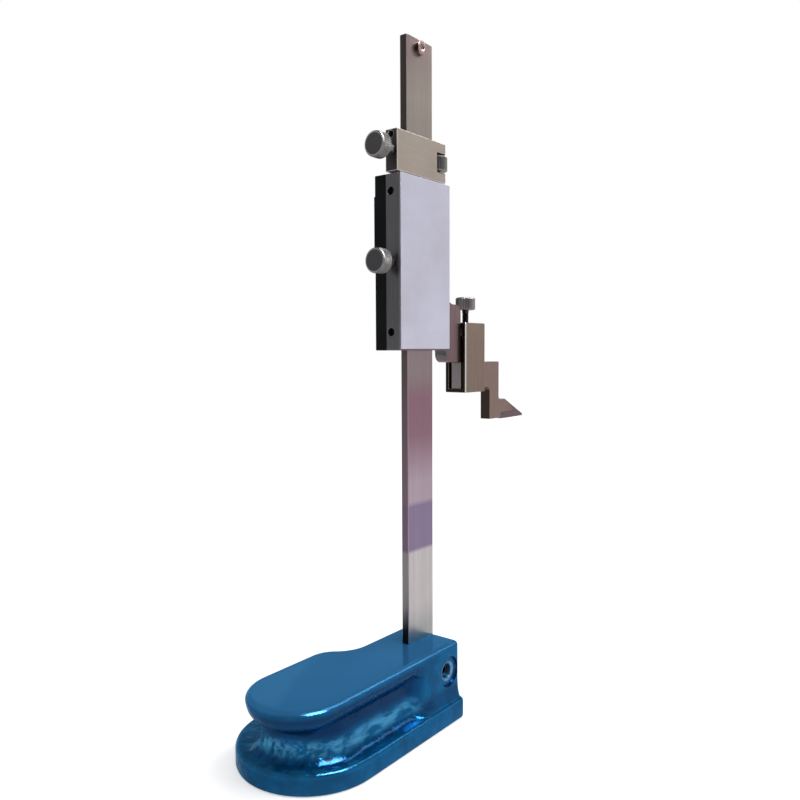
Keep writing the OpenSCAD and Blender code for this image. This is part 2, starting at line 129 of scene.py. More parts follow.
def softened(node, width):
    """Copy of a CAD node's mesh with its sharp edges rounded. The new faces take the second material."""
    bm = bmesh.new()
    bm.from_mesh(NODES[node].data)
    bmesh.ops.remove_doubles(bm, verts=bm.verts, dist=WELD * MM)
    angle = math.radians(BEVEL_ANGLE)
    sharp = [e for e in bm.edges if len(e.link_faces) == 2 and e.calc_face_angle(0) > angle]
    rounded = bmesh.ops.bevel(bm, geom=sharp, offset=width * MM, offset_type="OFFSET", segments=BEVEL_STEPS,
                              profile=BEVEL_PROFILE, affect="EDGES", clamp_overlap=False, loop_slide=False)
    for face in rounded["faces"]:
        face.material_index = 1
    return bm


def dress(node, name, material, width, edge=None):
    """Replaces a CAD node by its softened copy, whose edges may have a finish of their own."""
    materials = [material, edge or material]
    return add_piece(name, softened(node, width), body_of(node), materials, [node], flat=True)


def paint(piece, material, lo, hi):
    """Gives the faces of a piece whose middles lie in a box another finish."""
    piece.data.materials.append(material)
    last = len(piece.data.materials) - 1
    for polygon in piece.data.polygons:
        centre = polygon.center / MM
        if all(a < c < b for a, c, b in zip(lo, centre, hi)):
            polygon.material_index = last


def coat(material, *nodes):
    """Gives CAD nodes that stay as they are a finish."""
    for node in nodes:
        mesh = NODES[node].data
        mesh.materials.clear()
        mesh.materials.append(material)


def skin(bm, rings, bored=False):
    """Joins equally long rings of vertices, with two flat ends or, when bored, back to the first ring."""
    for low, high in zip(rings, rings[1:] + rings[:1] if bored else rings[1:]):
        count = len(low)
        for i in range(count):
            j = (i + 1) % count
            bm.faces.new((low[i], low[j], high[j], high[i]))
    if not bored:
        bm.faces.new(rings[0])
        bm.faces.new(rings[-1])


def lathe(profile, count, place, ridge=None, bored=False):
    """Turned solid. Its profile lists heights and radii and, where it is knurled, the ridges' depth."""
    bm = bmesh.new()
    rings = []
    for height, radius, *knurl in profile:
        ring = []
        for i in range(count):
            turn = 2 * math.pi * i / count
            r = radius - sum(depth * ridge(turn, height) for depth in knurl)
            point = Vector((r * math.cos(turn), r * math.sin(turn), height))
            ring.append(bm.verts.new(place @ point * MM))
        rings.append(ring)
    skin(bm, rings, bored)
    return bm


def along(axis):
    """Rotation that lays the lathe's axis along a direction."""
    return Vector((0, 0, 1)).rotation_difference(Vector(axis)).to_matrix().to_4x4()


def cut(piece, *cutters):
    """Subtracts closed meshes from a piece."""
    for cutter in cutters:
        tool = add_object("cutter", cutter)
        modifier = piece.modifiers.new("cut", "BOOLEAN")
        modifier.operation = "DIFFERENCE"
        modifier.solver = "EXACT"
        modifier.object = tool
        mesh = evaluated_mesh(piece)
        piece.modifiers.clear()
        piece.data = mesh
        bpy.data.objects.remove(tool)
    shade_smooth(piece.data, SHARP)


def box_mesh(lo, hi):
    """Closed box between two corners."""
    bm = bmesh.new()
    bmesh.ops.create_cube(bm, size=1)
    lo, hi = Vector(lo) * MM, Vector(hi) * MM
    for v in bm.verts:
        v.co = Vector([(a + b) / 2 + c * (b - a) for a, b, c in zip(lo, hi, v.co)])
    return mesh_from("box", bm)


def smooth(x, low, high):
    """0 below low, 1 above high, with an eased step between."""
    t = min(max((x - low) / (high - low), 0), 1)
    return t * t * (3 - 2 * t)


def quarter(count):
    """Angles in radians from 0 to a right angle, in equal steps."""
    return [math.radians(90 * i / count) for i in range(count + 1)]


def levels(low, high, count):
    """Heights from low to high, in equal steps."""
    return [low + (high - low) * i / count for i in range(count + 1)]


# Node graphs. The mix node has several sockets of one name, so its colour sockets go by number

COLOUR_A, COLOUR_B, COLOUR_RESULT = 6, 7, 2


class Graph:
    """A node tree and the short calls that fill it."""

    def __init__(self, tree):
        self.tree = tree

    def node(self, kind, operation=None):
        """New shader node."""
        made = self.tree.nodes.new("ShaderNode" + kind)
        if operation:
            made.operation = operation
        return made

    def put(self, socket, value):
        """Links a socket to another, or sets its value."""
        if isinstance(value, bpy.types.NodeSocket):
            self.tree.links.new(value, socket)
        else:
            socket.default_value = value

    def math(self, operation, a, b=0.0):
        """Result of an operation on two values."""
        node = self.node("Math", operation)
        self.put(node.inputs[0], a)
        self.put(node.inputs[1], b)
        return node.outputs[0]

    def product(self, first, *others):
        """Values multiplied in turn."""
        for other in others:
            first = self.math("MULTIPLY", first, other)
        return first

    def vector_math(self, operation, a, b, result):
        """Result of an operation on two vectors."""
        node = self.node("VectorMath", operation)
        self.put(node.inputs[0], a)
        self.put(node.inputs[1], b)
        return node.outputs[result]

    def part(self, vector, index):
        """One coordinate of a vector."""
        split = self.node("SeparateXYZ")
        self.put(split.inputs[0], vector)
        return split.outputs[index]

    def between(self, source, low, high, out_low, out_high):
        """Maps a value from one range to another, clamped."""
        node = self.node("MapRange")
        names = ("From Min", "From Max", "To Min", "To Max")
        for name, value in zip(names, (low, high, out_low, out_high)):
            node.inputs[name].default_value = value
        self.put(node.inputs["Value"], source)
        return node.outputs["Result"]


class Finish(Graph):
    """A node material with one main shader."""

    def __init__(self, name, roughness, metallic=0.0):
        self.material = bpy.data.materials.new(name)
        self.material.use_nodes = True
        super().__init__(self.material.node_tree)
        self.shader = self.tree.nodes["Principled BSDF"]
        self.set("Metallic", metallic)
        self.set("Roughness", roughness)
        self.where = self.node("TexCoord").outputs["Object"]

    def set(self, socket, value):
        """Links or sets an input of the shader."""
        self.put(self.shader.inputs[socket], value)

    def noise(self, scale, stretch=(1, 1, 1), detail=4):
        """Noise in object space, scale in features per metre."""
        mapping = self.node("Mapping")
        mapping.inputs["Scale"].default_value = stretch
        self.put(mapping.inputs["Vector"], self.where)
        noise = self.node("TexNoise")
        noise.inputs["Scale"].default_value = scale
        noise.inputs["Detail"].default_value = detail
        self.put(noise.inputs["Vector"], mapping.outputs["Vector"])
        return noise.outputs["Fac"]

    def spread(self, noise, out_low, out_high):
        """Maps the range that a noise mostly keeps to."""
        return self.between(noise, *NOISE_RANGE, out_low, out_high)

    def axis(self, index):
        """One coordinate of the surface point, in metres."""
        return self.part(self.where, index)

    def facing_x(self, low, high):
        """1 on faces that look along X, 0 on those that look another way."""
        normal = self.node("TexCoord").outputs["Normal"]
        return self.between(self.math("ABSOLUTE", self.part(normal, 0)), low, high, 0, 1)

    def rise(self, source, low, high, most=1.0):
        """0 below one place, most above another."""
        return self.between(source, low * MM, high * MM, 0, most)

    def fall(self, source, low, high):
        """1 below one place, 0 above another."""
        return self.between(source, low * MM, high * MM, 1, 0)

    def band(self, source, low, full, last, end, most=1.0):
        """Most from full to last, and 0 below low and above end."""
        return self.product(self.rise(source, low, full, most), self.fall(source, last, end))

    def away(self, x, z):
        """Distance from a line along Y, in metres."""
        flat = self.vector_math("MULTIPLY", self.where, (1, 0, 1), "Vector")
        return self.vector_math("DISTANCE", flat, (x * MM, 0, z * MM), "Value")

    def blend(self, factor, a, b):
        """Mix of two colours."""
        node = self.node("Mix")
        node.data_type = "RGBA"
        self.put(node.inputs["Factor"], factor)
        self.put(node.inputs[COLOUR_A], a)
        self.put(node.inputs[COLOUR_B], b)
        return node.outputs[COLOUR_RESULT]

    def shade(self, factor, a, b):
        """Colour a, darkened by colour b as far as the factor says."""
        colour = self.blend(factor, a, b)
        colour.node.blend_type = "MULTIPLY"
        return colour

    def edges(self, low, high):
        """1 on convex edges, 0 elsewhere."""
        return self.between(self.node("NewGeometry").outputs["Pointiness"], low, high, 0, 1)

    def bump(self, height, distance, strength, below=None):
        """Adds relief of a depth, over other relief where there is some below."""
        node = self.node("Bump")
        node.inputs["Strength"].default_value = strength
        node.inputs["Distance"].default_value = distance * MM
        self.put(node.inputs["Height"], height)
        if below is not None:
            self.put(node.inputs["Normal"], below)
        self.set("Normal", node.outputs["Normal"])
        return node.outputs["Normal"]


# Finishes. Noise scales are in features per metre

METAL = 1.0
NOISE_RANGE, STREAK_RANGE, SUM_RANGE = (0.3, 0.7), (0.35, 0.7), (0.7, 1.3)
STEEL_SMOOTHER, STEEL_ROUGHER = 0.05, 0.08
PLASTIC_SMOOTHER, PLASTIC_ROUGHER = 0.06, 0.12
CLOUD_GAIN, CLOUD_LIFT = 1.8, 0.004
# How far a face must look along X to take a steel's side colour, a tone painted as shade
NARROW_SIDE = (0.6, 0.9)
UPRIGHT, SIDEWAYS, EVEN = (1, 1, 0.02), (0.02, 1, 1), (1, 1, 1)
GROUND_LINES, LONG_LINES, MOULD_GRAIN = 4200, 5200, 5200
STREAK_GREY, STAIN_GREY, BAR_GREY = (0.45, 0.44, 0.43, 1), (0.88, 0.85, 0.82, 1), (0.5, 0.48, 0.46, 1)
FADED_INK = (0.03, 0.03, 0.032, 1)
WINDOW_TINTS = (0.04, 0.045, 0.045, 1), (0.06, 0.065, 0.065, 1)
WINDOW_ALPHA = 0.07


def rgb(code):
    """Linear colour from a hex code, by the sRGB curve."""
    def linear(c):
        c /= 255
        return c / 12.92 if c <= 0.04045 else ((c + 0.055) / 1.055) ** 2.4
    return tuple(linear(int(code[i:i + 2], 16)) for i in (0, 2, 4)) + (1,)


def steel(name, face, side, grain=UPRIGHT, rough=0.3, streak=0.3, depth=0.012):
    """Ground or milled steel: streaks along the grain, another tone painted as shade on the faces that look
    along X, faint stains.
    """
    f = Finish(name, roughness=rough, metallic=METAL)
    lines = f.noise(scale=GROUND_LINES, stretch=grain, detail=3)
    cloud = f.noise(scale=45, detail=5)
    # Faces that look along X take the side colour, painted as shade
    base = f.blend(f.facing_x(*NARROW_SIDE), rgb(face), rgb(side))
    brushed = f.shade(f.between(lines, *STREAK_RANGE, 0, streak), base, STREAK_GREY)
    f.set("Base Color", f.shade(f.between(cloud, *STREAK_RANGE, 0, 1), brushed, STAIN_GREY))
    uneven = f.math("ADD", lines, cloud)
    f.set("Roughness", f.between(uneven, *SUM_RANGE, rough - STEEL_SMOOTHER, rough + STEEL_ROUGHER))
    f.bump(lines, depth, strength=0.5)
    return f.material


BAR_SIDE = (0.75, 0.95)
SHANK_END, NOSE_START = (40, 50), (66, 82)


def scriber_finish(name, face, side, shank_end, nose):
    """Hardened steel bar, stained toward its nose, its faces that look along X painted darker as shade but
    lighter at the end of the shank.
    """
    f = Finish(name, roughness=0.38, metallic=METAL)
    lines = f.noise(scale=GROUND_LINES, stretch=(0.03, 1, 1), detail=3)
    stain = f.noise(scale=330, detail=5)
    length = f.axis(0)
    ends = f.blend(f.rise(length, *SHANK_END), rgb(shank_end), rgb(side))
    # Faces that look along X take the side colour, painted darker as shade
    base = f.blend(f.facing_x(*BAR_SIDE), rgb(face), ends)
    near = f.product(f.rise(length, *NOSE_START), f.between(stain, 0.35, 0.6, 0.35, 1))
    stained = f.blend(near, base, rgb(nose))
    f.set("Base Color", f.shade(f.between(lines, *STREAK_RANGE, 0, 0.2), stained, BAR_GREY))
    f.set("Roughness", f.spread(stain, 0.32, 0.46))
    f.bump(lines, distance=0.01, strength=0.5)
    return f.material


def plastic(name, colour, rough):
    """Moulded plastic with a fine grain and faint lighter clouds."""
    f = Finish(name, roughness=rough)
    grain = f.noise(scale=MOULD_GRAIN, detail=3)
    light = tuple(min(1, c * CLOUD_GAIN + CLOUD_LIFT) for c in colour[:3]) + (1,)
    f.set("Base Color", f.blend(f.spread(f.noise(scale=70), 0, 0.5), colour, light))
    f.set("Roughness", f.spread(grain, rough - PLASTIC_SMOOTHER, rough + PLASTIC_ROUGHER))
    f.set("Specular IOR Level", 0.1)
    f.bump(grain, distance=0.02, strength=0.5)
    return f.material


def brass(name):
    """Drawn brass, darker in its streaks."""
    f = Finish(name, roughness=0.32, metallic=METAL)
    lines = f.noise(scale=3000, stretch=(1, 1, 0.05))
    f.set("Base Color", f.blend(f.spread(lines, 0, 1), rgb("B98F43"), rgb("8A6630")))
    f.set("Roughness", f.spread(f.noise(scale=160), 0.22, 0.42))
    f.bump(lines, distance=0.01, strength=0.4)
    return f.material


# Places where the enamel changes: heights, the end of the grip's hollow and rings round the set screw
SCREW_X, SCREW_Z = 1.0, 20.6
# Where the top begins: smooth there, and painted a lighter blue for the light that falls on it
ENAMEL_TOP = (30.0, 31.2)
HOLLOW_END = (-20.5, -15.0)
# Heights of painted light: a light band of painted reflection across the hollow, and bands of painted shade
# and dark reflection under the plate, at the foot of the block and in the gutter
PAINTED_SHEEN_BAND = (9.8, 12.0, 14.0, 17.0)
UNDER_SHADE_BAND, UNDER_SHADE_SHARE = (15.0, 18.5, 28.5, 30.5), 0.88
FOOT_SHADE_BAND = (8.2, 9.5, 13.5, 15.8)
GUTTER_SHADE_BAND = (8.1, 8.6, 9.5, 11.0)
# Rings round the set screw: painted shade in the corner of the seat, and rubbed paint at the bore
SEAT_SHADE_RING, SEAT_SHADE_SHARE = (5.6, 5.8, 6.25, 6.4), 0.85
RUBBED_RING, RUBBED_SHARE = (2.9, 3.1, 3.8, 4.1), 0.7
SEAT_SIDE = (-13.6, -13.2)
# Convex edges painted a lighter blue, partly wear and partly a painted highlight
EDGE_WEAR_AND_HIGHLIGHT, EDGE_WEAR_AND_HIGHLIGHT_SHARE = (0.505, 0.56), 0.2


def enamel_body(f, top):
    """Enamel blues before the painted light and shade: one pair on the sides, and a lighter pair on top that
    is painted lighter for the light that falls on it.
    """
    tone, cloud = f.noise(scale=130, detail=4), f.noise(scale=40, detail=3)
    sides = f.blend(f.between(tone, 0.42, 0.62, 0, 1), rgb("06598B"), rgb("074A74"))
    # The top's pair of blues is lighter: painted light where the light falls on the top
    return f.blend(top, sides, f.blend(f.spread(cloud, 0, 1), rgb("2B699C"), rgb("2F70A4")))


def enamel_runs(f, colour):
    """Painted light on the enamel: a light mottled band of painted reflection across the middle of the
    hollow, and deep navy painted shade and dark reflection under the plate, at the foot of the block's wall
    and in the gutter above the sole's rim.
    """
    height = f.axis(2)
    mottle = f.noise(scale=420, stretch=(0.3, 1, 1), detail=6)
    hollow = f.fall(f.axis(0), *HOLLOW_END)
    block = f.math("SUBTRACT", 1.0, hollow)
    # Painted reflection: a light mottled band across the middle of the hollow
    thin = f.product(f.band(height, *PAINTED_SHEEN_BAND), hollow, f.between(mottle, 0.42, 0.58, 0, 0.75))
    # Painted shade under the overhanging plate
    under = f.product(f.band(height, *UNDER_SHADE_BAND), hollow, UNDER_SHADE_SHARE)
    foot = f.product(f.band(height, *FOOT_SHADE_BAND), block, f.between(mottle, 0.36, 0.56, 1, 0.45))
    gutter_shade = f.product(f.band(height, *GUTTER_SHADE_BAND), hollow, f.between(mottle, 0.36, 0.6, 0.9, 0.3))
    # Painted shade and dark reflection, all in deep navy
    painted_shade = f.math("MAXIMUM", under, f.math("MAXIMUM", foot, gutter_shade))
    return f.blend(painted_shade, f.blend(thin, colour, rgb("4A9AC6")), rgb("022C58"))


def enamel_seat(f, colour):
    """Round the set screw: painted shade in the corner of the seat, rubbed paint at the bore."""
    away = f.away(SCREW_X, SCREW_Z)
    side = f.fall(f.axis(1), *SEAT_SIDE)
    # Painted shade in the corner of the seat
    corner = f.product(f.band(away, *SEAT_SHADE_RING, SEAT_SHADE_SHARE), side)
    rubbed = f.product(f.band(away, *RUBBED_RING, RUBBED_SHARE), side)
    return f.blend(rubbed, f.blend(corner, colour, rgb("04204A")), rgb("8FA6C8"))


def enamel(name):
    """Thick glossy paint over a cast surface: smooth on top, where it is painted lighter for the light that
    falls on it, lumpy on the sides, and lighter on its edges, partly from wear and partly as a painted
    highlight.
    """
    f = Finish(name, roughness=0.14, metallic=0.5)
    # The top is painted lighter for the light that falls on it, and has no lumps
    top = f.rise(f.axis(2), *ENAMEL_TOP)
    colour = enamel_seat(f, enamel_runs(f, enamel_body(f, top)))
    # Lighter convex edges: partly wear, partly a painted highlight
    wear_and_highlight = f.product(f.edges(*EDGE_WEAR_AND_HIGHLIGHT), EDGE_WEAR_AND_HIGHLIGHT_SHARE)
    cast, peel = f.noise(scale=240, detail=3), f.noise(scale=1400, detail=2)
    f.set("Base Color", f.blend(wear_and_highlight, colour, rgb("4A93BC")))
    f.set("Roughness", f.spread(peel, 0.1, 0.18))
    f.set("Specular IOR Level", 0.02)
    f.set("Specular Tint", (0.35, 0.75, 1, 1))
    f.set("Coat Weight", 0.15)
    f.set("Coat Roughness", 0.05)
    lumps = f.bump(f.product(cast, f.math("SUBTRACT", 1.0, top)), distance=0.7, strength=0.7)
    f.bump(peel, distance=0.004, strength=0.3, below=lumps)
    return f.material


# Zones of painted reflection and shade on the beam from its root up: heights over which each begins, tint of
# its faces, tint of its sides. The sides' tints are painted darker as shade, near black at the root
FACES, SIDES = 0, 1
BEAM_ROOT = ("ACACAA", "14161A")
BEAM_PAINTED_ZONES = {"pale foot": ((37, 47), "C6C0C0", "8E8888"),
              "violet band": ((68.8, 70.4), "8B7A98", "746078"),
              "light band": ((88, 90), "B39FAC", "7A6870"),
              "rose middle": ((98, 117), "95707F", "74626A"),
              "under the slider": ((132, 142), "978789", "6A5E60"),
              "upper half": ((150, 215), "A79D94", "4C4643"),
              "top end": ((252, 268), "92827F", "4A4241")}


def beam_finish(name):
    """Ground stainless bar, long fine streaks, with painted reflections and shade that change along its
    length.
    """
    f = Finish(name, roughness=0.26, metallic=METAL)
    lines = f.noise(scale=LONG_LINES, stretch=(1, 1, 0.012), detail=3)
    broad = f.noise(scale=420, stretch=(1, 1, 0.01), detail=2)
    height = f.axis(2)

    def tints(which):
        """Painted colour of the faces or of the sides, from zone to zone: reflections, and shade on the
        sides.
        """
        colour = rgb(BEAM_ROOT[which])
        for begins, *codes in BEAM_PAINTED_ZONES.values():
            colour = f.blend(f.rise(height, *begins), colour, rgb(codes[which]))
        return colour

    # Faces that look along X take the side tints, painted darker as shade
    bar = f.blend(f.facing_x(*NARROW_SIDE), tints(FACES), tints(SIDES))
    grey = f.blend(f.between(broad, 0.35, 0.65, 0, 0.12), bar, rgb("6E6763"))
    f.set("Base Color", f.blend(f.between(lines, 0.4, 0.65, 0, 0.08), grey, rgb("4A4542")))
    f.set("Roughness", f.spread(lines, 0.29, 0.34))
    f.bump(lines, distance=0.0015, strength=0.5)
    return f.material


def film_finish(name):
    """Printed white film, a little uneven."""
    f = Finish(name, roughness=0.25)
    f.set("Base Color", f.blend(f.spread(f.noise(scale=300), 0, 1), rgb("DADBDC"), rgb("D4D6D7")))
    f.set("Roughness", f.spread(f.noise(scale=900), 0.2, 0.34))
    f.bump(f.noise(scale=500), distance=0.01, strength=0.3)
    return f.material


def print_finish(name, colour, faded=FADED_INK):
    """Ink with faded specks."""
    f = Finish(name, roughness=0.5)
    f.set("Base Color", f.blend(f.spread(f.noise(scale=2500), 0, 1), colour, faded))
    f.bump(f.noise(scale=4000), distance=0.005, strength=0.4)
    return f.material


def window_finish(name):
    """Thin clear window, faintly uneven."""
    f = Finish(name, roughness=0.06)
    f.set("Base Color", f.blend(f.noise(scale=900), *WINDOW_TINTS))
    f.set("Roughness", f.spread(f.noise(scale=220), 0.04, 0.12))
    f.set("Alpha", WINDOW_ALPHA)
    f.bump(f.noise(scale=60), distance=0.01, strength=0.2)
    return f.material


ENAMEL = enamel("base_enamel")
BEAM_EDGE = steel("beam_edge", "AC9AA2", "A0949A", streak=0.2)
# Near-white painted highlight: on the carriage's rounded edges, the rim of the thumb screws' ends and one
# upright edge of the clamp
EDGE = steel("painted_edge_highlight", "F4F2F0", "C8C4C2", EVEN, rough=0.24, streak=0.05)
BEAM = beam_finish("beam_steel")
SLIDER = steel("slider_steel", "866E71", "76767A", streak=0.5)
# The cover's pale lavender grey is partly its own film and partly a painted reflection of its surroundings
COVER = steel("cover_plate", "D4D4E6", "8F9099", SIDEWAYS, rough=0.4, streak=0.03, depth=0.002)
CARRIAGE = steel("carriage_steel", "B7ACA2", "4F4C4F", SIDEWAYS, rough=0.38, streak=0.15, depth=0.004)
JAW = steel("clamp_steel", "8F7D72", "322C2A", (1, 1, 0.05), rough=0.38, streak=0.2)
# Near-black painted shade for the nut's pocket and the inside of the clamp
SHADE = steel("painted_shade_recess", "0B0A0A", "080707", EVEN, rough=0.5)
SCRIBER = scriber_finish("scriber_steel", "8F7770", "443B37", "968F90", "5A444C")
SCREW = steel("screw_steel", "8C8A88", "5E5D60", EVEN, rough=0.34)
STOP = steel("stop_screw_steel", "AE9694", "3A3230", EVEN, streak=0.2)
DARK_SCREW = steel("dark_screw", "454345", "2A2A2C", EVEN, rough=0.36)
KNOB = steel("knob_steel", "9A9698", "7A7678", EVEN, rough=0.36)
CARBIDE = steel("carbide", "735F62", "3A3034", (0.1, 1, 1), rough=0.34)
CELL = steel("cell_metal", "C8C6C2", "B0AEAA", EVEN, rough=0.25, streak=0.2)
BRASS = brass("gib_brass")
HOUSING = plastic("housing_black", rgb("05070A"), rough=0.42)
LID = plastic("lid_black", rgb("1B1E22"), rough=0.44)
RED = plastic("button_red", rgb("A8321F"), rough=0.4)
YELLOW = plastic("button_yellow", rgb("C79A22"), rough=0.4)
GREY = plastic("button_grey", rgb("6C7176"), rough=0.4)
BOARD = plastic("circuit_board", rgb("1F4A2C"), rough=0.45)
SCALE = plastic("scale_board", rgb("3E5A38"), rough=0.5)
FILM = film_finish("scale_film")
INK = print_finish("scale_ink", rgb("1A1A1C"))
DIGITS = print_finish("lcd_digits", rgb("0B0E0B"), rgb("141814"))
LABEL = print_finish("key_print", rgb("D8D8D4"), rgb("B9B9B6"))
LCD = plastic("lcd_grey", rgb("A9B59C"), rough=0.5)
GLASS = window_finish("window_clear")


# Base

# Plate and sole seen from above: straight edges, arcs with their radii, and the reach of the grip's hollow
FRONT_X, BASE_H = 8.6, 31.6
CORNER = 2.2
SIDE_BACK, SIDE_FRONT, FAR_Y = -15.2, 13.0, 22.8
TOE, TOE_R = Vector((-65.3, 3.8)), 19.0
SHOULDER, SHOULDER_R = Vector((-40.0, 10.8)), 12.0
WAIST, WAIST_R = Vector((-19.7, 27.0)), 14.0
SOLE, SOLE_R = Vector((-52.6, 10.3)), 28.28
SOLE_BACK, SOLE_FRONT, SOLE_T = -18.0, 15.8, 8.0
ARCH, ARCH_R = Vector((-11.6, 35.8)), 20.0
GRIP, GRIP_MOST, GRIP_STEP, LEDGE = 5.0, 12, 0.05, 7.0
GROOVE_END, GROOVE_EASE = -17.0, 5.0

# Search for the sole's edge, and a length that counts as none
SEARCH_STEP, SEARCH_HALVES = 0.5, 24
NEAR = 0.001

# Upright section: insets with heights, rims and coves. The plate's insets stay below its corner radius
FOOT_EDGE = ((1.0, 0.0), (0.3, 0.3), (0.0, 1.0))
SOLE_EDGE, SOLE_RIM, SOLE_RIM_SHARE = 2.6, 1.9, 0.42
COVE, COVE_RISE = 6.0, 8.5
NECK_Z, UNDER_Z, UNDER_BACK = 16.5, 24.3, 3.1
LIP = ((2.3, 24.6), (1.4, 25.4), (0.75, 26.5), (0.3, 27.9), (0.08, 28.8))
PLATE_RIM, PLATE_INSET = 1.8, 2.1
SOLE_STEPS, COVE_STEPS, UNDER_STEPS, PLATE_STEPS = 5, 12, 10, 7

# Slot for the beam, and the set screw's bore and seat, which are measured from the middle of the slot
SLOT_LOW, SLOT_HIGH = (-8.55, -1.75, 5), (9.6, 1.75, 40)
BORE_START, BORE_R, BORE_EASE, BORE_FLARE = 1.0, 3.05, 0.6, 0.7
SEAT_Y, SEAT_R, SEAT_FILLET, SEAT_END, SEAT_FLARE = 14.2, 6.1, 0.2, 16.5, 0.1


def run(start, end, normal, count):
    """Points along a straight edge, with the direction that faces out."""
    a, b = Vector(start), Vector(end)
    return [(a.lerp(b, i / count), Vector(normal)) for i in range(count)]


def bend(centre, radius, start, end, count, hollow=False):
    """Points along an arc, with the direction that faces out."""
    points = []
    for i in range(count):
        angle = math.radians(start + (end - start) * i / count)
        out = Vector((math.cos(angle), math.sin(angle)))
        points.append((centre + out * radius, -out if hollow else out))
    return points


def heading(a, b):
    """Direction from one point to another."""
    d = b - a
    return math.degrees(math.atan2(d.y, d.x))


def plate_path():
    """Outline of the hand plate: back edge, toe, shoulder, waist, display edge, front."""
    joint = heading(SHOULDER, WAIST)
    x = FRONT_X - CORNER
    back, front = SIDE_BACK + CORNER, SIDE_FRONT - CORNER
    return (run((x, SIDE_BACK), (TOE.x, SIDE_BACK), (0, -1), count=70)
            + bend(TOE, TOE_R, 270, 90, count=84)
            + run((TOE.x, FAR_Y), (SHOULDER.x, FAR_Y), (0, 1), count=24)
            + bend(SHOULDER, SHOULDER_R, 90, joint, count=16)
            + bend(WAIST, WAIST_R, joint + 180, 270, count=20, hollow=True)
            + run((WAIST.x, SIDE_FRONT), (x, SIDE_FRONT), (0, 1), count=26)
            + bend(Vector((x, front)), CORNER, 90, 0, count=6)
            + run((FRONT_X, front), (FRONT_X, back), (1, 0), count=24)
            + bend(Vector((x, back)), CORNER, 0, -90, count=6))


def in_sole(p):
    """True inside the outline of the sole."""
    if (p - SOLE).length < SOLE_R:
        return True
    if SOLE.x < p.x < FRONT_X and SOLE_BACK < p.y < SOLE_FRONT:
        return True
    chord = SOLE.y + (ARCH.y - SOLE.y) * (p.x - SOLE.x) / (ARCH.x - SOLE.x)
    return SOLE.x < p.x < ARCH.x and 0 < p.y < chord and (p - ARCH).length > ARCH_R


def reach(p, out):
    """Edge of the sole met on the way out from a point."""
    low, high = 0.0, 0.0
    while in_sole(p + out * high):
        low, high = high, high + SEARCH_STEP
    for _ in range(SEARCH_HALVES):
        middle = (low + high) / 2
        low, high = (middle, high) if in_sole(p + out * middle) else (low, middle)
    return p + out * low


def sole_point(p, out, wall):
    """Point of the sole's edge that belongs to a point of the plate's edge."""
    if p.x > FRONT_X - CORNER - NEAR:
        spread = (SOLE_BACK - SIDE_BACK) if p.y < 0 else (SOLE_FRONT - SIDE_FRONT)
        middle = SIDE_BACK + CORNER if p.y < 0 else SIDE_FRONT - CORNER
        return p + Vector((0, spread * min(1, p.y / middle)))
    return reach(wall, out)


def groove_share(p):
    """1 where the grip groove is full, 0 on the block round the beam."""
    return 1 - smooth(p.x, GROOVE_END - GROOVE_EASE, GROOVE_END + GROOVE_EASE / 2)


def neck_point(p, out, share):
    """Wall of the neck under the plate, behind the plate's edge and the sole's."""
    depth = GRIP
    while (p - out * depth - SOLE).length > SOLE_R - LEDGE and depth < GRIP_MOST and p.x < SOLE.x:
        depth += GRIP_STEP
    return p - out * depth * share


def sole_section(neck, sole):
    """Section from the ground over the sole's rim and up the cove to the neck."""
    span = sole - neck
    length = max(span.length, NEAR)
    way = span / length
    rim = min(SOLE_RIM, SOLE_RIM_SHARE * length)
    cove = min(COVE, max(length - rim, 0.0))
    section = [(sole - way * min(inset, length), z) for inset, z in FOOT_EDGE]
    section.append((sole, SOLE_T - SOLE_EDGE))
    for t in quarter(SOLE_STEPS):
        section.append((sole - way * rim * (1 - math.cos(t)), SOLE_T - rim + rim * math.sin(t)))
    for t in reversed(quarter(COVE_STEPS)):
        section.append((neck + way * cove * (1 - math.cos(t)), SOLE_T + COVE_RISE * (1 - math.sin(t))))
    return section


def plate_section(neck, p, out, share):
    """Section from the neck round the underside of the plate and over its rim to the top."""
    section = []
    lip = p - out * UNDER_BACK * share
    for t in quarter(UNDER_STEPS)[1:]:
        section.append((neck.lerp(lip, 1 - math.cos(t)), NECK_Z + (UNDER_Z - NECK_Z) * math.sin(t)))
    section += [(p - out * inset * share, z) for inset, z in LIP]
    for t in quarter(PLATE_STEPS):
        edge = p - out * PLATE_RIM * (1 - math.cos(t))
        section.append((edge, BASE_H - PLATE_RIM + PLATE_RIM * math.sin(t)))
    section.append((p - out * PLATE_INSET, BASE_H))
    return section


def base_section(p, out):
    """One upright section of the base, from the ground to the top."""
    share = groove_share(p)
    neck = neck_point(p, out, share)
    return sole_section(neck, sole_point(p, out, neck)) + plate_section(neck, p, out, share)


def seat_mesh():
    """Bore and spot face of the set screw, to be cut from the base."""
    profile = [(BORE_START, BORE_R), (SEAT_Y - BORE_EASE, BORE_R), (SEAT_Y, BORE_R + BORE_FLARE),
               (SEAT_Y, SEAT_R - SEAT_FILLET), (SEAT_Y + SEAT_FILLET, SEAT_R),
               (SEAT_END, SEAT_R + SEAT_FLARE)]
    place = Matrix.Translation((SCREW_X, 0, SCREW_Z)) @ along((0, -1, 0))
    return mesh_from("bore", lathe(profile, ROUND_STEPS, place))


def base_casting():
    """Cast base with its slot and the set screw's seat."""
    bm = bmesh.new()
    sections = [base_section(p, out) for p, out in plate_path()]
    skin(bm, [[bm.verts.new((xy.x * MM, xy.y * MM, z * MM)) for xy, z in level] for level in zip(*sections)])
    piece = add_piece("base_cast", bm, "base", [ENAMEL], ["base_casting"])
    cut(piece, box_mesh(SLOT_LOW, SLOT_HIGH), seat_mesh())


base_casting()


# Knurled heads and screws

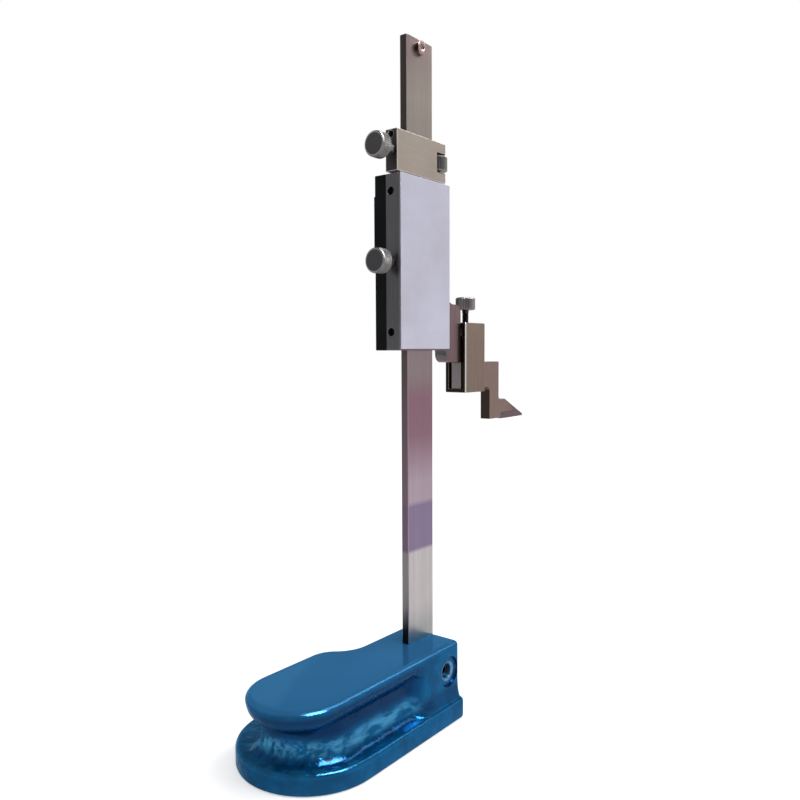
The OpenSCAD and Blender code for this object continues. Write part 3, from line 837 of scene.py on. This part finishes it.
# Small bevels, and the thread and point that the screws share
EASE, BEVEL = 0.15, 0.2
THREAD_R, POINT_R, POINT = 1.48, 1.2, 0.3

# Thumb screws
HEAD_LENGTH, HEAD_HALF, FACE_R = 5.3, 5, 4.4
DISH, DISH_R, DISH_RIM = 0.12, 4.0, 0.1
KNURL_R, KNURL_DEPTH, KNURL_RIDGES, KNURL_PITCH = 4.88, 0.26, 42, 1.6
KNURL_FRONT, KNURL_BACK, KNURL_LEVELS = 0.6, 0.55, 20
NECK_GAP, NECK_R, NECK_FILLET = 0.55, 2.1, 0.25
SKIN = 0.01

# Nut, and what the clamp screw's head has in common with it
SMALL_FACE_R, SMALL_KNURL_R, SMALL_EASE, SMALL_LEVELS = 3.7, 4.4, 0.55, 4
NUT_SHORT, NUT_BORE_R, NUT_MOUTH_R, NUT_RIDGES, NUT_DEPTH = 0.4, 1.26, 1.5, 40, 0.3

# Clamp screw: head, thread, collar and the hollow in its end
ROD_HEAD, ROD_RIDGES, ROD_DEPTH, ROD_KNURL = 5.5, 36, 0.32, 0.5
ROD_PITCH, ROD_ROOT_R, ROD_PLAIN = 0.5, 1.22, 1.0
ROD_FILLET, ROD_COLLAR_R, ROD_UNDER_EASE, ROD_TOP_R = 0.02, 1.7, 0.12, 3.95
ROD_HALF, HOLLOW_R, HOLLOW_FLOOR_R = 2, 2.6, 2.3


def straight(count):
    """Ridges along the axis."""
    return lambda turn, height: abs(((turn * count / (2 * math.pi)) % 1) - 0.5) * 2


def diamond(count, pitch):
    """Crossed ridges."""
    def depth(turn, height):
        a = turn * count / (2 * math.pi)
        b = height / pitch
        return max(abs(((a + b) % 1) - 0.5), abs(((a - b) % 1) - 0.5)) * 2 - 0.5
    return depth


def thumb_screw(node, name):
    """Knurled screw along X: recessed end, chamfered knurl, neck and thread."""
    lo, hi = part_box(node)
    z = (lo.z + hi.z) / 2 / MM
    head, tip = -lo.x / MM, -hi.x / MM
    back = head - HEAD_LENGTH
    neck = -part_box("slider_frame")[0].x / MM + NECK_GAP
    end = [(head - DISH, DISH_R - DISH_RIM), (head - DISH, DISH_R), (head, DISH_R + EASE),
           (head, FACE_R), (head - EASE, FACE_R + BEVEL)]
    heights = levels(head - KNURL_FRONT, back + KNURL_BACK, KNURL_LEVELS)
    knurl = [(height, KNURL_R, KNURL_DEPTH) for height in heights]
    under = [(back + EASE, FACE_R), (back, FACE_R - BEVEL),
             (back, NECK_R + NECK_FILLET), (back - EASE, NECK_R)]
    shank = [(neck + EASE, NECK_R), (neck, NECK_R - EASE), (neck, THREAD_R),
             (tip + POINT, THREAD_R), (tip, POINT_R)]
    place = Matrix.Translation((0, 0, z)) @ along((-1, 0, 0))
    ridges = diamond(KNURL_RIDGES, KNURL_PITCH)
    bm = lathe(end + knurl + under + shank, KNURL_RIDGES * DIAMOND_STEPS, place, ridges)
    piece = add_piece(name, bm, body_of(node), [SCREW], [node], SCREW_SHARP)
    # Near-white painted highlight on the flat rim of the head's end
    paint(piece, EDGE, (-head - SKIN, -HEAD_HALF, z - HEAD_HALF), (-head + SKIN, HEAD_HALF, z + HEAD_HALF))


def nut():
    """Knurled adjusting nut with a bore for the stud."""
    lo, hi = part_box("fine_adjust_nut")
    low, high = lo.z / MM + NUT_SHORT, hi.z / MM - NUT_SHORT
    centre = (lo + hi) / 2 / MM
    ends = [(BEVEL, NUT_BORE_R), (0, NUT_MOUTH_R), (0, SMALL_FACE_R), (EASE, SMALL_FACE_R + BEVEL)]
    heights = levels(low + SMALL_EASE, high - SMALL_EASE, SMALL_LEVELS)
    knurl = [(height, SMALL_KNURL_R, NUT_DEPTH) for height in heights]
    profile = [(low + up, r) for up, r in ends] + knurl + [(high - down, r) for down, r in reversed(ends)]
    place = Matrix.Translation((centre.x, centre.y, 0))
    bm = lathe(profile, NUT_RIDGES * RIDGE_STEPS, place, straight(NUT_RIDGES), bored=True)
    add_piece("fine_adjust_knob", bm, "fine_adjust_nut", [SCREW],
              ["fine_adjust_nut"], SCREW_SHARP)


def clamp_screw():
    """Knurled head on a thin threaded rod, along Z."""
    lo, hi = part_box("scriber_clamp_screw")
    low, top = lo.z / MM, hi.z / MM
    centre = (lo + hi) / 2 / MM
    under = top - ROD_HEAD
    half, turns = ROD_PITCH / 2, int((under - low - ROD_PLAIN) / ROD_PITCH)
    thread = [(low + POINT + half * i, THREAD_R if i % 2 else ROD_ROOT_R) for i in range(2 * turns)]
    collar = [(under - ROD_FILLET, THREAD_R), (under, ROD_COLLAR_R)]
    below = [(under, SMALL_FACE_R), (under + ROD_UNDER_EASE, SMALL_FACE_R + BEVEL)]
    heights = levels(under + ROD_KNURL, top - SMALL_EASE, SMALL_LEVELS)
    knurl = [(height, SMALL_KNURL_R, ROD_DEPTH) for height in heights]
    crown = [(top - EASE, ROD_TOP_R), (top, SMALL_FACE_R), (top, HOLLOW_R), (top - BEVEL, HOLLOW_FLOOR_R)]
    place = Matrix.Translation((centre.x, centre.y, 0))
    profile = [(low, POINT_R)] + thread + collar + below + knurl + crown
    bm = lathe(profile, ROD_RIDGES * RIDGE_STEPS, place, straight(ROD_RIDGES))
    piece = add_piece("scriber_clamp_knob", bm, "scriber_clamp_screw", [KNOB],
                      ["scriber_clamp_screw"], SCREW_SHARP)
    paint(piece, DARK_SCREW, (centre.x - ROD_HALF, centre.y - ROD_HALF, low - SKIN),
          (centre.x + ROD_HALF, centre.y + ROD_HALF, under - SKIN))


thumb_screw("lock_thumb_screw", "lock_knob")
thumb_screw("clamp_thumb_screw", "carriage_knob")
nut()
clamp_screw()
dress("beam_stop_screw", "stop_screw", STOP, width=0.35)
dress("base_set_screw", "base_clamp_screw", DARK_SCREW, width=0.2)
dress("gib_set_screws", "gib_adjusters", DARK_SCREW, width=0.12)
dress("carriage_gib_screw", "carriage_gib_adjuster", DARK_SCREW, width=0.12)


# Beam, slider and display

# Boxes that take painted light or shade: the nut's pocket and the inside of the clamp are painted near black
# as shade, and one upright edge of the clamp takes a painted highlight
POCKET_LOW, POCKET_HIGH = (9, -3.2, 224.5), (17, 3.2, 233.1)
CLAMP_WALL = Vector((0.5, 0.6, 0.5))
CLAMP_EDGE = 0.4


def carriage():
    """Fine adjustment carriage whose rounded edges take a painted highlight, with painted shade in the
    pocket round the nut.
    """
    piece = dress("carriage_block", "carriage", CARRIAGE, width=0.25, edge=EDGE)
    # Painted shade in the pocket round the nut
    paint(piece, SHADE, POCKET_LOW, POCKET_HIGH)


def clamp_box():
    """Scriber's clamp, painted near black inside as shade, with a painted highlight on one upright edge."""
    piece = dress("scriber_clamp", "clamp_box", JAW, width=0.45)
    low, high = (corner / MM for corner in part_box("scriber_clamp"))
    # Painted shade inside the clamp
    paint(piece, SHADE, low + CLAMP_WALL, high - CLAMP_WALL)
    # Painted highlight on the near upright edge
    paint(piece, EDGE, low, (low.x + CLAMP_EDGE, low.y + CLAMP_EDGE, high.z))


dress("beam", "beam_bar", BEAM, width=0.28, edge=BEAM_EDGE)
dress("slider_frame", "slider_body", SLIDER, width=0.28)
dress("back_cover", "back_plate", COVER, width=0.25)
carriage()
clamp_box()
dress("scriber", "scriber_bar", SCRIBER, width=0.2)
dress("carbide_tip", "scriber_tip", CARBIDE, width=0.1)
dress("display_housing", "display_case", HOUSING, width=0.3)
dress("battery_cover", "battery_lid", LID, width=0.2)
dress("lcd_window", "display_window", GLASS, width=0.12)

coat(BRASS, "slider_gib", "carriage_gib", "lock_shoe", "clamp_shoe", "clamp_pad")
coat(SCREW, "display_screws", "fine_adjust_stud")
coat(SCALE, "scale_board")
coat(FILM, "scale_film")
coat(LCD, "lcd_panel")
coat(BOARD, "reader_board")
coat(CELL, "button_cell", "battery_contacts")


# Keys: a flange inside the housing where the CAD has one, and a cap whose dish lists depths and insets

CAP_R, SHOULDER_Y = 3.0, 6.55
FLANGE_BEVEL, FLANGE_EASE = 0.1, 0.05
CAP_DISH = ((0.5, 0.0), (0.22, 0.08), (0.06, 0.3), (0.0, 0.7), (0.04, 1.1), (0.16, 2.0), (0.2, 2.7))


def button(node, name, material):
    """Push button with a dished, rounded cap."""
    lo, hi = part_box(node)
    centre = (lo + hi) / 2 / MM
    back, front = lo.y / MM, hi.y / MM
    radius = (hi.x - lo.x) / 2 / MM
    profile = [(back, radius - FLANGE_BEVEL), (back + FLANGE_BEVEL, radius)]
    if radius > CAP_R + FLANGE_BEVEL:
        profile += [(SHOULDER_Y - FLANGE_EASE, radius), (SHOULDER_Y, radius - FLANGE_BEVEL)]
        profile.append((SHOULDER_Y, CAP_R))
    profile += [(front - depth, CAP_R - inset) for depth, inset in CAP_DISH]
    place = Matrix.Translation((centre.x, 0, centre.z)) @ along((0, 1, 0))
    bm = lathe(profile, ROUND_STEPS, place)
    add_piece(name, bm, body_of(node), [material], [node], KEY_SHARP)


button("power_button", "power_key", RED)
button("zero_button", "zero_key", YELLOW)
button("unit_button", "unit_key", GREY)


# Print on the display side

# Turn that lays lettering on the display side
FACING = Matrix(((-1, 0, 0, 0), (0, 0, 1, 0), (0, 1, 0, 0), (0, 0, 0, 1)))
CURVE_STEPS = 3

# Scale
SCALE_ZERO, INCH = 32.2, 25.4
FILM_MARGIN, INK_LIFT, MARK = 0.25, 0.01, 0.14
MM_MARKS, TEN_MARK, FIVE_MARK, ONE_MARK = range(2, 153), 3.4, 2.6, 1.7
MM_FIGURES, MM_FIGURE_GAP, FIGURE_HALF = 2.0, 4.6, 0.35
TENTH_MARKS, INCH_MARK, TENTH_MARK = range(1, 61), 2.6, 1.5
INCH_FIGURES, INCH_FIGURE_GAP = 2.2, 3.4

# Reading on the display, with the left edge of each figure as read
SEGMENTS = {"0": "abcdef", "1": "bc", "4": "bcfg", "9": "abcdfg"}
DIGIT_WIDE, DIGIT_TALL, DIGIT_LEAN = 2.5, 7.4, 0.08
BAR_THICK, BAR_GAP = 0.8, 0.1
READING = (("1", 9.6), ("1", 5.9), ("9", 2.2), ("4", -2.4), ("0", -6.1))
READING_RISE, READING_LIFT = 3.0, 0.02
POINT_LEFT, POINT_RIGHT, POINT_TOP, POINT_FOOT = -1.3, -2.1, 7.0, 7.8
UNIT_SIZE, UNIT_X, UNIT_RISE = 3.0, -7.9, 2.3

# Words over the keys
LABELS = (("ON/OFF", "power_button"), ("ZERO", "zero_button"), ("mm/in", "unit_button"))
LABEL_SIZE, LABEL_RISE, LABEL_SINK = 1.7, 5.2, 0.49


def add_outline(bm, points, y):
    """Flat shape that faces the display side, from its points (x, z)."""
    face = bm.faces.new([bm.verts.new(Vector((x, y, z)) * MM) for x, z in points])
    face.normal_update()
    if face.normal.y < 0:
        face.normal_flip()


def add_line(bm, start, end, z, y):
    """Level mark of the scale."""
    low, high = z - MARK / 2, z + MARK / 2
    add_outline(bm, [(start, low), (end, low), (end, high), (start, high)], y)


def add_words(bm, words, size, x, y, z):
    """Lettering that faces the display side, centred on a point."""
    curve = bpy.data.curves.new("words", "FONT")
    curve.body, curve.size, curve.resolution_u = words, size * MM, CURVE_STEPS
    curve.align_x, curve.align_y = "CENTER", "CENTER"
    writer = add_object("words", curve)
    mesh = evaluated_mesh(writer)
    mesh.transform(Matrix.Translation(Vector((x, y, z)) * MM) @ FACING)
    bm.from_mesh(mesh)
    bpy.data.objects.remove(writer)
    bpy.data.curves.remove(curve)
    bpy.data.meshes.remove(mesh)


def mm_scale(bm, left, y):
    """Millimetres, with a figure at every ten."""
    for value in MM_MARKS:
        z = SCALE_ZERO + value
        length = TEN_MARK if value % 10 == 0 else FIVE_MARK if value % 5 == 0 else ONE_MARK
        add_line(bm, left, left - length, z, y)
        if value % 10 == 0:
            figure = str(value)
            add_words(bm, figure, MM_FIGURES, left - MM_FIGURE_GAP - FIGURE_HALF * len(figure), y, z)


def inch_scale(bm, right, y):
    """Tenths of an inch, with a figure at every inch."""
    for tenth in TENTH_MARKS:
        z = SCALE_ZERO + tenth * INCH / 10
        add_line(bm, right, right + (INCH_MARK if tenth % 10 == 0 else TENTH_MARK), z, y)
        if tenth % 10 == 0:
            add_words(bm, str(tenth // 10), INCH_FIGURES, right + INCH_FIGURE_GAP, y, z)


def scale_print():
    """Millimetres along one edge of the film, inches along the other; the slider's lower edge points."""
    lo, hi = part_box("scale_film")
    left, right, y = hi.x / MM - FILM_MARGIN, lo.x / MM + FILM_MARGIN, hi.y / MM + INK_LIFT
    bm = bmesh.new()
    mm_scale(bm, left, y)
    inch_scale(bm, right, y)
    add_piece("scale_print", bm, body_of("scale_film"), [INK], closed=False)


def bar_points(u0, v0, u1, v1):
    """Six corners of a pointed bar between two points."""
    level = abs(u1 - u0) > abs(v1 - v0)
    centre = Vector((u0, v0)).lerp(Vector((u1, v1)), 0.5)
    half = max(abs(u1 - u0), abs(v1 - v0)) / 2 - BAR_GAP
    tip = BAR_THICK / 2
    flat = half - tip
    shape = [(-half, 0), (-flat, tip), (flat, tip), (half, 0), (flat, -tip), (-flat, -tip)]
    return [(centre.x + (s if level else t), centre.y + (t if level else s)) for s, t in shape]


def add_digit(bm, figure, x, z, y):
    """Seven segment figure, from its left upper corner as read."""
    wide, tall, middle = DIGIT_WIDE, DIGIT_TALL, DIGIT_TALL / 2
    bars = {"a": (0, tall, wide, tall), "b": (wide, middle, wide, tall), "c": (wide, 0, wide, middle),
            "d": (0, 0, wide, 0), "e": (0, 0, 0, middle), "f": (0, middle, 0, tall),
            "g": (0, middle, wide, middle)}
    for name in SEGMENTS[figure]:
        points = bar_points(*bars[name])
        add_outline(bm, [(x - u - DIGIT_LEAN * v, z + v - tall) for u, v in points], y)


def lcd_digits():
    """The reading at rest, 119.40 mm."""
    lo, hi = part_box("lcd_panel")
    y = hi.y / MM + READING_LIFT
    top = (lo.z + hi.z) / 2 / MM + READING_RISE
    bm = bmesh.new()
    for figure, x in READING:
        add_digit(bm, figure, x, top, y)
    low, high = top - POINT_FOOT, top - POINT_TOP
    add_outline(bm, [(POINT_LEFT, low), (POINT_LEFT, high), (POINT_RIGHT, high), (POINT_RIGHT, low)], y)
    add_words(bm, "mm", UNIT_SIZE, UNIT_X, y, top + UNIT_RISE)
    add_piece("lcd_digits", bm, body_of("lcd_panel"), [DIGITS], closed=False)


def key_labels():
    """Plain words over the keys."""
    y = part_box("display_housing")[1].y / MM - LABEL_SINK
    bm = bmesh.new()
    for words, node in LABELS:
        lo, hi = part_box(node)
        add_words(bm, words, LABEL_SIZE, (lo.x + hi.x) / 2 / MM, y, (lo.z + hi.z) / 2 / MM + LABEL_RISE)
    add_piece("key_labels", bm, body_of("display_housing"), [LABEL], closed=False)


scale_print()
lcd_digits()
key_labels()


# Stage. The lamps' distance and sizes and the floor's size are in metres, powers in watts

EYE, LENS, SENSOR, CLIP_START = (-253.65, -189.63, 151.12), 34.77, 36, 10
TURN, PITCH, ROLL = -51.94, 3.58, -0.25
FLOOR_SIZE, FLOOR_DROP, FLOOR_COLOUR, FLOOR_GLOW = 12, 0.1, (0.82, 0.82, 0.83, 1), 0.42
AIM, LAMP_DISTANCE = (-20, 0, 110), 1.3
KEY, SECOND, STRIP = (0.0, -0.54, 0.84), (0.26, -0.5, 0.83), (0.62, -0.3, 0.72)
LAMP_SIZE, LAMP_POWER = (0.3, 0.3), 3.2
STRIP_SIZE, STRIP_POWER = (0.2, 0.9), 2.5
SKY_LEVEL, WHITE_LEVEL = 0.72, 1.0
DARK_END, DARK_SHARE = (-0.8, 0.6, 0), (0.2, 0.8)
LIGHT_HEIGHTS, LIGHT_LEVELS = (-0.02, 0.5), (1.04, 0.3)
DUSK_HEIGHTS, DUSK_LEVELS = (-0.05, 0.2), (0.06, 0.5)
PANEL_SHARE, PANEL_LEVELS = (0.945, 0.98), (0, 24)


def camera():
    """Camera at the photograph's angle, from its azimuth, pitch and roll."""
    turn, pitch, roll = math.radians(TURN), math.radians(PITCH), math.radians(ROLL)
    right = Vector((math.cos(turn), math.sin(turn), 0))
    back = Vector((math.sin(turn) * math.cos(pitch), -math.cos(turn) * math.cos(pitch), math.sin(pitch)))
    up = back.cross(right)
    across = right * math.cos(roll) + up * math.sin(roll)
    upright = up * math.cos(roll) - right * math.sin(roll)
    data = bpy.data.cameras.new("camera")
    data.lens, data.sensor_width, data.clip_start = LENS, SENSOR, CLIP_START * MM
    eye = add_object("camera", data)
    turned = Matrix((across, upright, back)).transposed().to_4x4()
    eye.matrix_world = Matrix.Translation(Vector(EYE) * MM) @ turned
    bpy.context.scene.camera = eye


def floor_finish():
    """Pale floor that glows a little to the camera alone, so that it meets the white."""
    material = bpy.data.materials.new("floor")
    material.use_nodes = True
    material.node_tree.nodes.clear()
    g = Graph(material.node_tree)
    diffuse, glow, total = g.node("BsdfDiffuse"), g.node("Emission"), g.node("AddShader")
    g.put(diffuse.inputs["Color"], FLOOR_COLOUR)
    g.put(glow.inputs["Strength"], g.product(g.node("LightPath").outputs["Is Camera Ray"], FLOOR_GLOW))
    g.put(total.inputs[0], diffuse.outputs[0])
    g.put(total.inputs[1], glow.outputs[0])
    g.put(g.node("OutputMaterial").inputs["Surface"], total.outputs[0])
    return material


def floor():
    """Wide flat floor just under the base."""
    bm = bmesh.new()
    bmesh.ops.create_grid(bm, x_segments=1, y_segments=1, size=FLOOR_SIZE)
    plane = add_object("floor", mesh_from("floor", bm))
    plane.location.z = -FLOOR_DROP * MM
    plane.data.materials.append(floor_finish())


def lamp(name, toward, size, power):
    """Soft rectangular lamp that faces the object."""
    data = bpy.data.lights.new(name, "AREA")
    data.shape = "RECTANGLE"
    data.size, data.size_y = size
    data.energy = power
    light = add_object(name, data)
    aim = Vector(AIM) * MM
    light.location = aim + Vector(toward).normalized() * LAMP_DISTANCE
    light.rotation_euler = (light.location - aim).to_track_quat("Z", "Y").to_euler()


def glossy_level(g):
    """What shiny faces show: light that fades upward and toward a dark end, and a panel at the key lamp."""
    where = g.node("TexCoord").outputs["Generated"]
    height = g.part(where, 2)
    level = g.node("Mix")
    toward_end = g.vector_math("DOT_PRODUCT", where, DARK_END, "Value")
    toward_key = g.vector_math("DOT_PRODUCT", where, Vector(KEY).normalized(), "Value")
    g.put(level.inputs["Factor"], g.between(toward_end, *DARK_SHARE, 0, 1))
    g.put(level.inputs["A"], g.between(height, *LIGHT_HEIGHTS, *LIGHT_LEVELS))
    g.put(level.inputs["B"], g.between(height, *DUSK_HEIGHTS, *DUSK_LEVELS))
    return g.math("ADD", level.outputs["Result"], g.between(toward_key, *PANEL_SHARE, *PANEL_LEVELS))


def world():
    """White studio: an even sky, white to the camera and through clear pieces, graded in shiny faces."""
    sky = bpy.data.worlds.new("studio")
    sky.use_nodes = True
    bpy.context.scene.world = sky
    sky.node_tree.nodes.clear()
    g = Graph(sky.node_tree)
    path = g.node("LightPath")

    def background(strength):
        """White light from all round."""
        made = g.node("Background")
        g.put(made.inputs["Color"], (1, 1, 1, 1))
        g.put(made.inputs["Strength"], strength)
        return made.outputs[0]

    def choose(ray, others, these):
        """One background for a kind of ray, and another for the rest."""
        made = g.node("MixShader")
        g.put(made.inputs["Fac"], path.outputs[ray])
        g.put(made.inputs[1], others)
        g.put(made.inputs[2], these)
        return made.outputs[0]

    white = background(WHITE_LEVEL)
    seen = choose("Is Glossy Ray", background(SKY_LEVEL), background(glossy_level(g)))
    seen = choose("Is Transmission Ray", seen, white)
    seen = choose("Is Camera Ray", seen, white)
    g.put(g.node("OutputWorld").inputs["Surface"], seen)


bpy.context.scene.view_settings.view_transform = "Standard"
camera()
floor()
world()
lamp("key", KEY, LAMP_SIZE, LAMP_POWER)
lamp("second", SECOND, LAMP_SIZE, LAMP_POWER)
lamp("strip", STRIP, STRIP_SIZE, STRIP_POWER)
